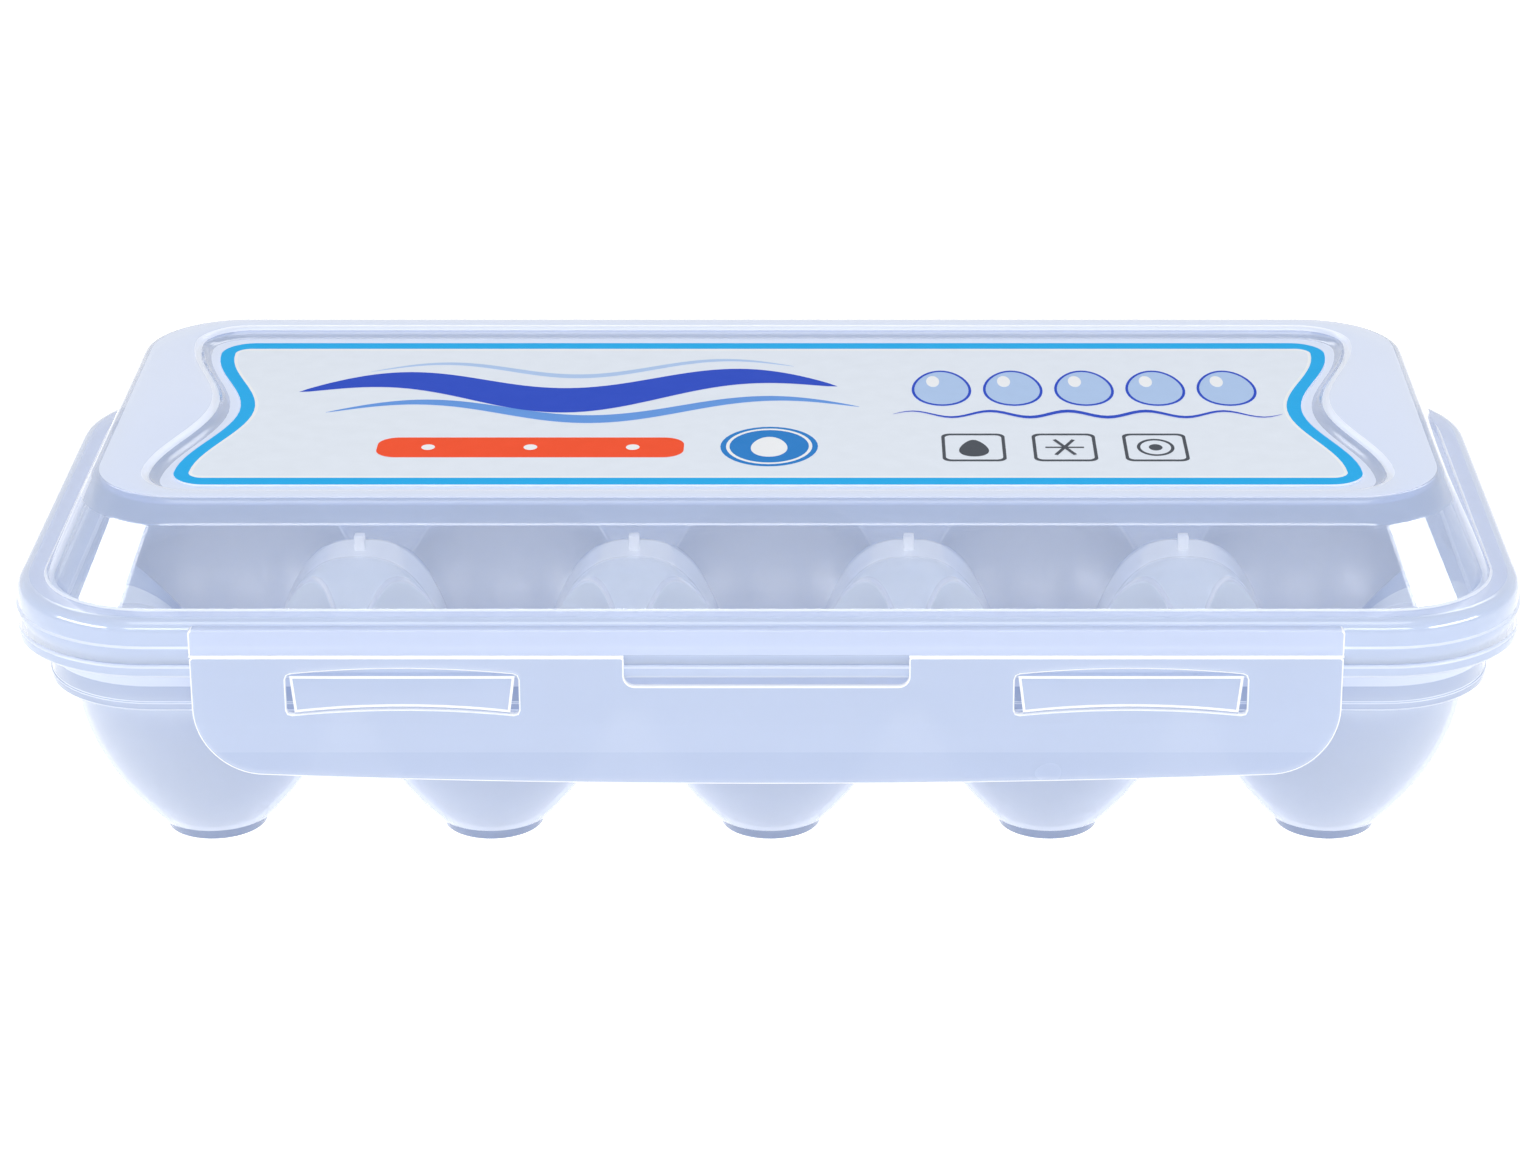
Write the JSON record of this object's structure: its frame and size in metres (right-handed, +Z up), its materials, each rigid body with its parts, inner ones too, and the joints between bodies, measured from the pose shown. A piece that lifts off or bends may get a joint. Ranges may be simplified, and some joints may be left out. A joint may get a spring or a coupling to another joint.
{
  "type": "egg storage container",
  "caption": "Clear closed keeper for upright eggs: a tray of round cups, a domed lid with a label recess on a rear film hinge, and a front snap flap over wedge lugs.",
  "frame": {"origin": "centre of the footprint, on the plane of the feet", "axes": "+X along the length, -Y towards the latch side, +Z up"},
  "size_m": [0.262, 0.1244, 0.071],
  "materials": {
    "tray_plastic": "clear polypropylene with a light blue tint, glossy",
    "lid_plastic": "clear polypropylene with a light blue tint, glossy",
    "flap_plastic": "clear polypropylene with a light blue tint, slightly frosted",
    "label_print": "satin printed film, pale field with a cyan border"
  },
  "bodies": {
    "base": {"base_rim": "tray_plastic", "egg_cup_front_1": "tray_plastic", "egg_cup_front_2": "tray_plastic", "egg_cup_front_3": "tray_plastic", "egg_cup_front_4": "tray_plastic", "egg_cup_front_5": "tray_plastic", "egg_cup_back_1": "tray_plastic", "egg_cup_back_2": "tray_plastic", "egg_cup_back_3": "tray_plastic", "egg_cup_back_4": "tray_plastic", "egg_cup_back_5": "tray_plastic", "divider_pip_1": "tray_plastic", "divider_pip_2": "tray_plastic", "divider_pip_3": "tray_plastic", "divider_pip_4": "tray_plastic", "rear_hinge_film": "tray_plastic", "latch_lug_left": "tray_plastic", "latch_lug_right": "tray_plastic"},
    "lid": {"lid_shell": "lid_plastic", "label_film": "label_print", "latch_hinge_strip": "lid_plastic", "rear_hinge_strip": "lid_plastic", "front_hinge_film_left": "lid_plastic", "front_hinge_film_right": "lid_plastic"},
    "flap": {"latch_flap": "flap_plastic"}
  },
  "joints": [
    {"name": "lid_hinge", "type": "hinge", "parent": "base", "child": "lid", "pos_m": [0, 0.0624, 0.04545], "axis": [-1, 0, 0], "range_deg": [0, 180]},
    {"name": "flap_hinge", "type": "hinge", "parent": "lid", "child": "flap", "pos_m": [0, -0.0616, 0.0477], "axis": [-1, 0, 0], "range_deg": [0, 135]}
  ]
}
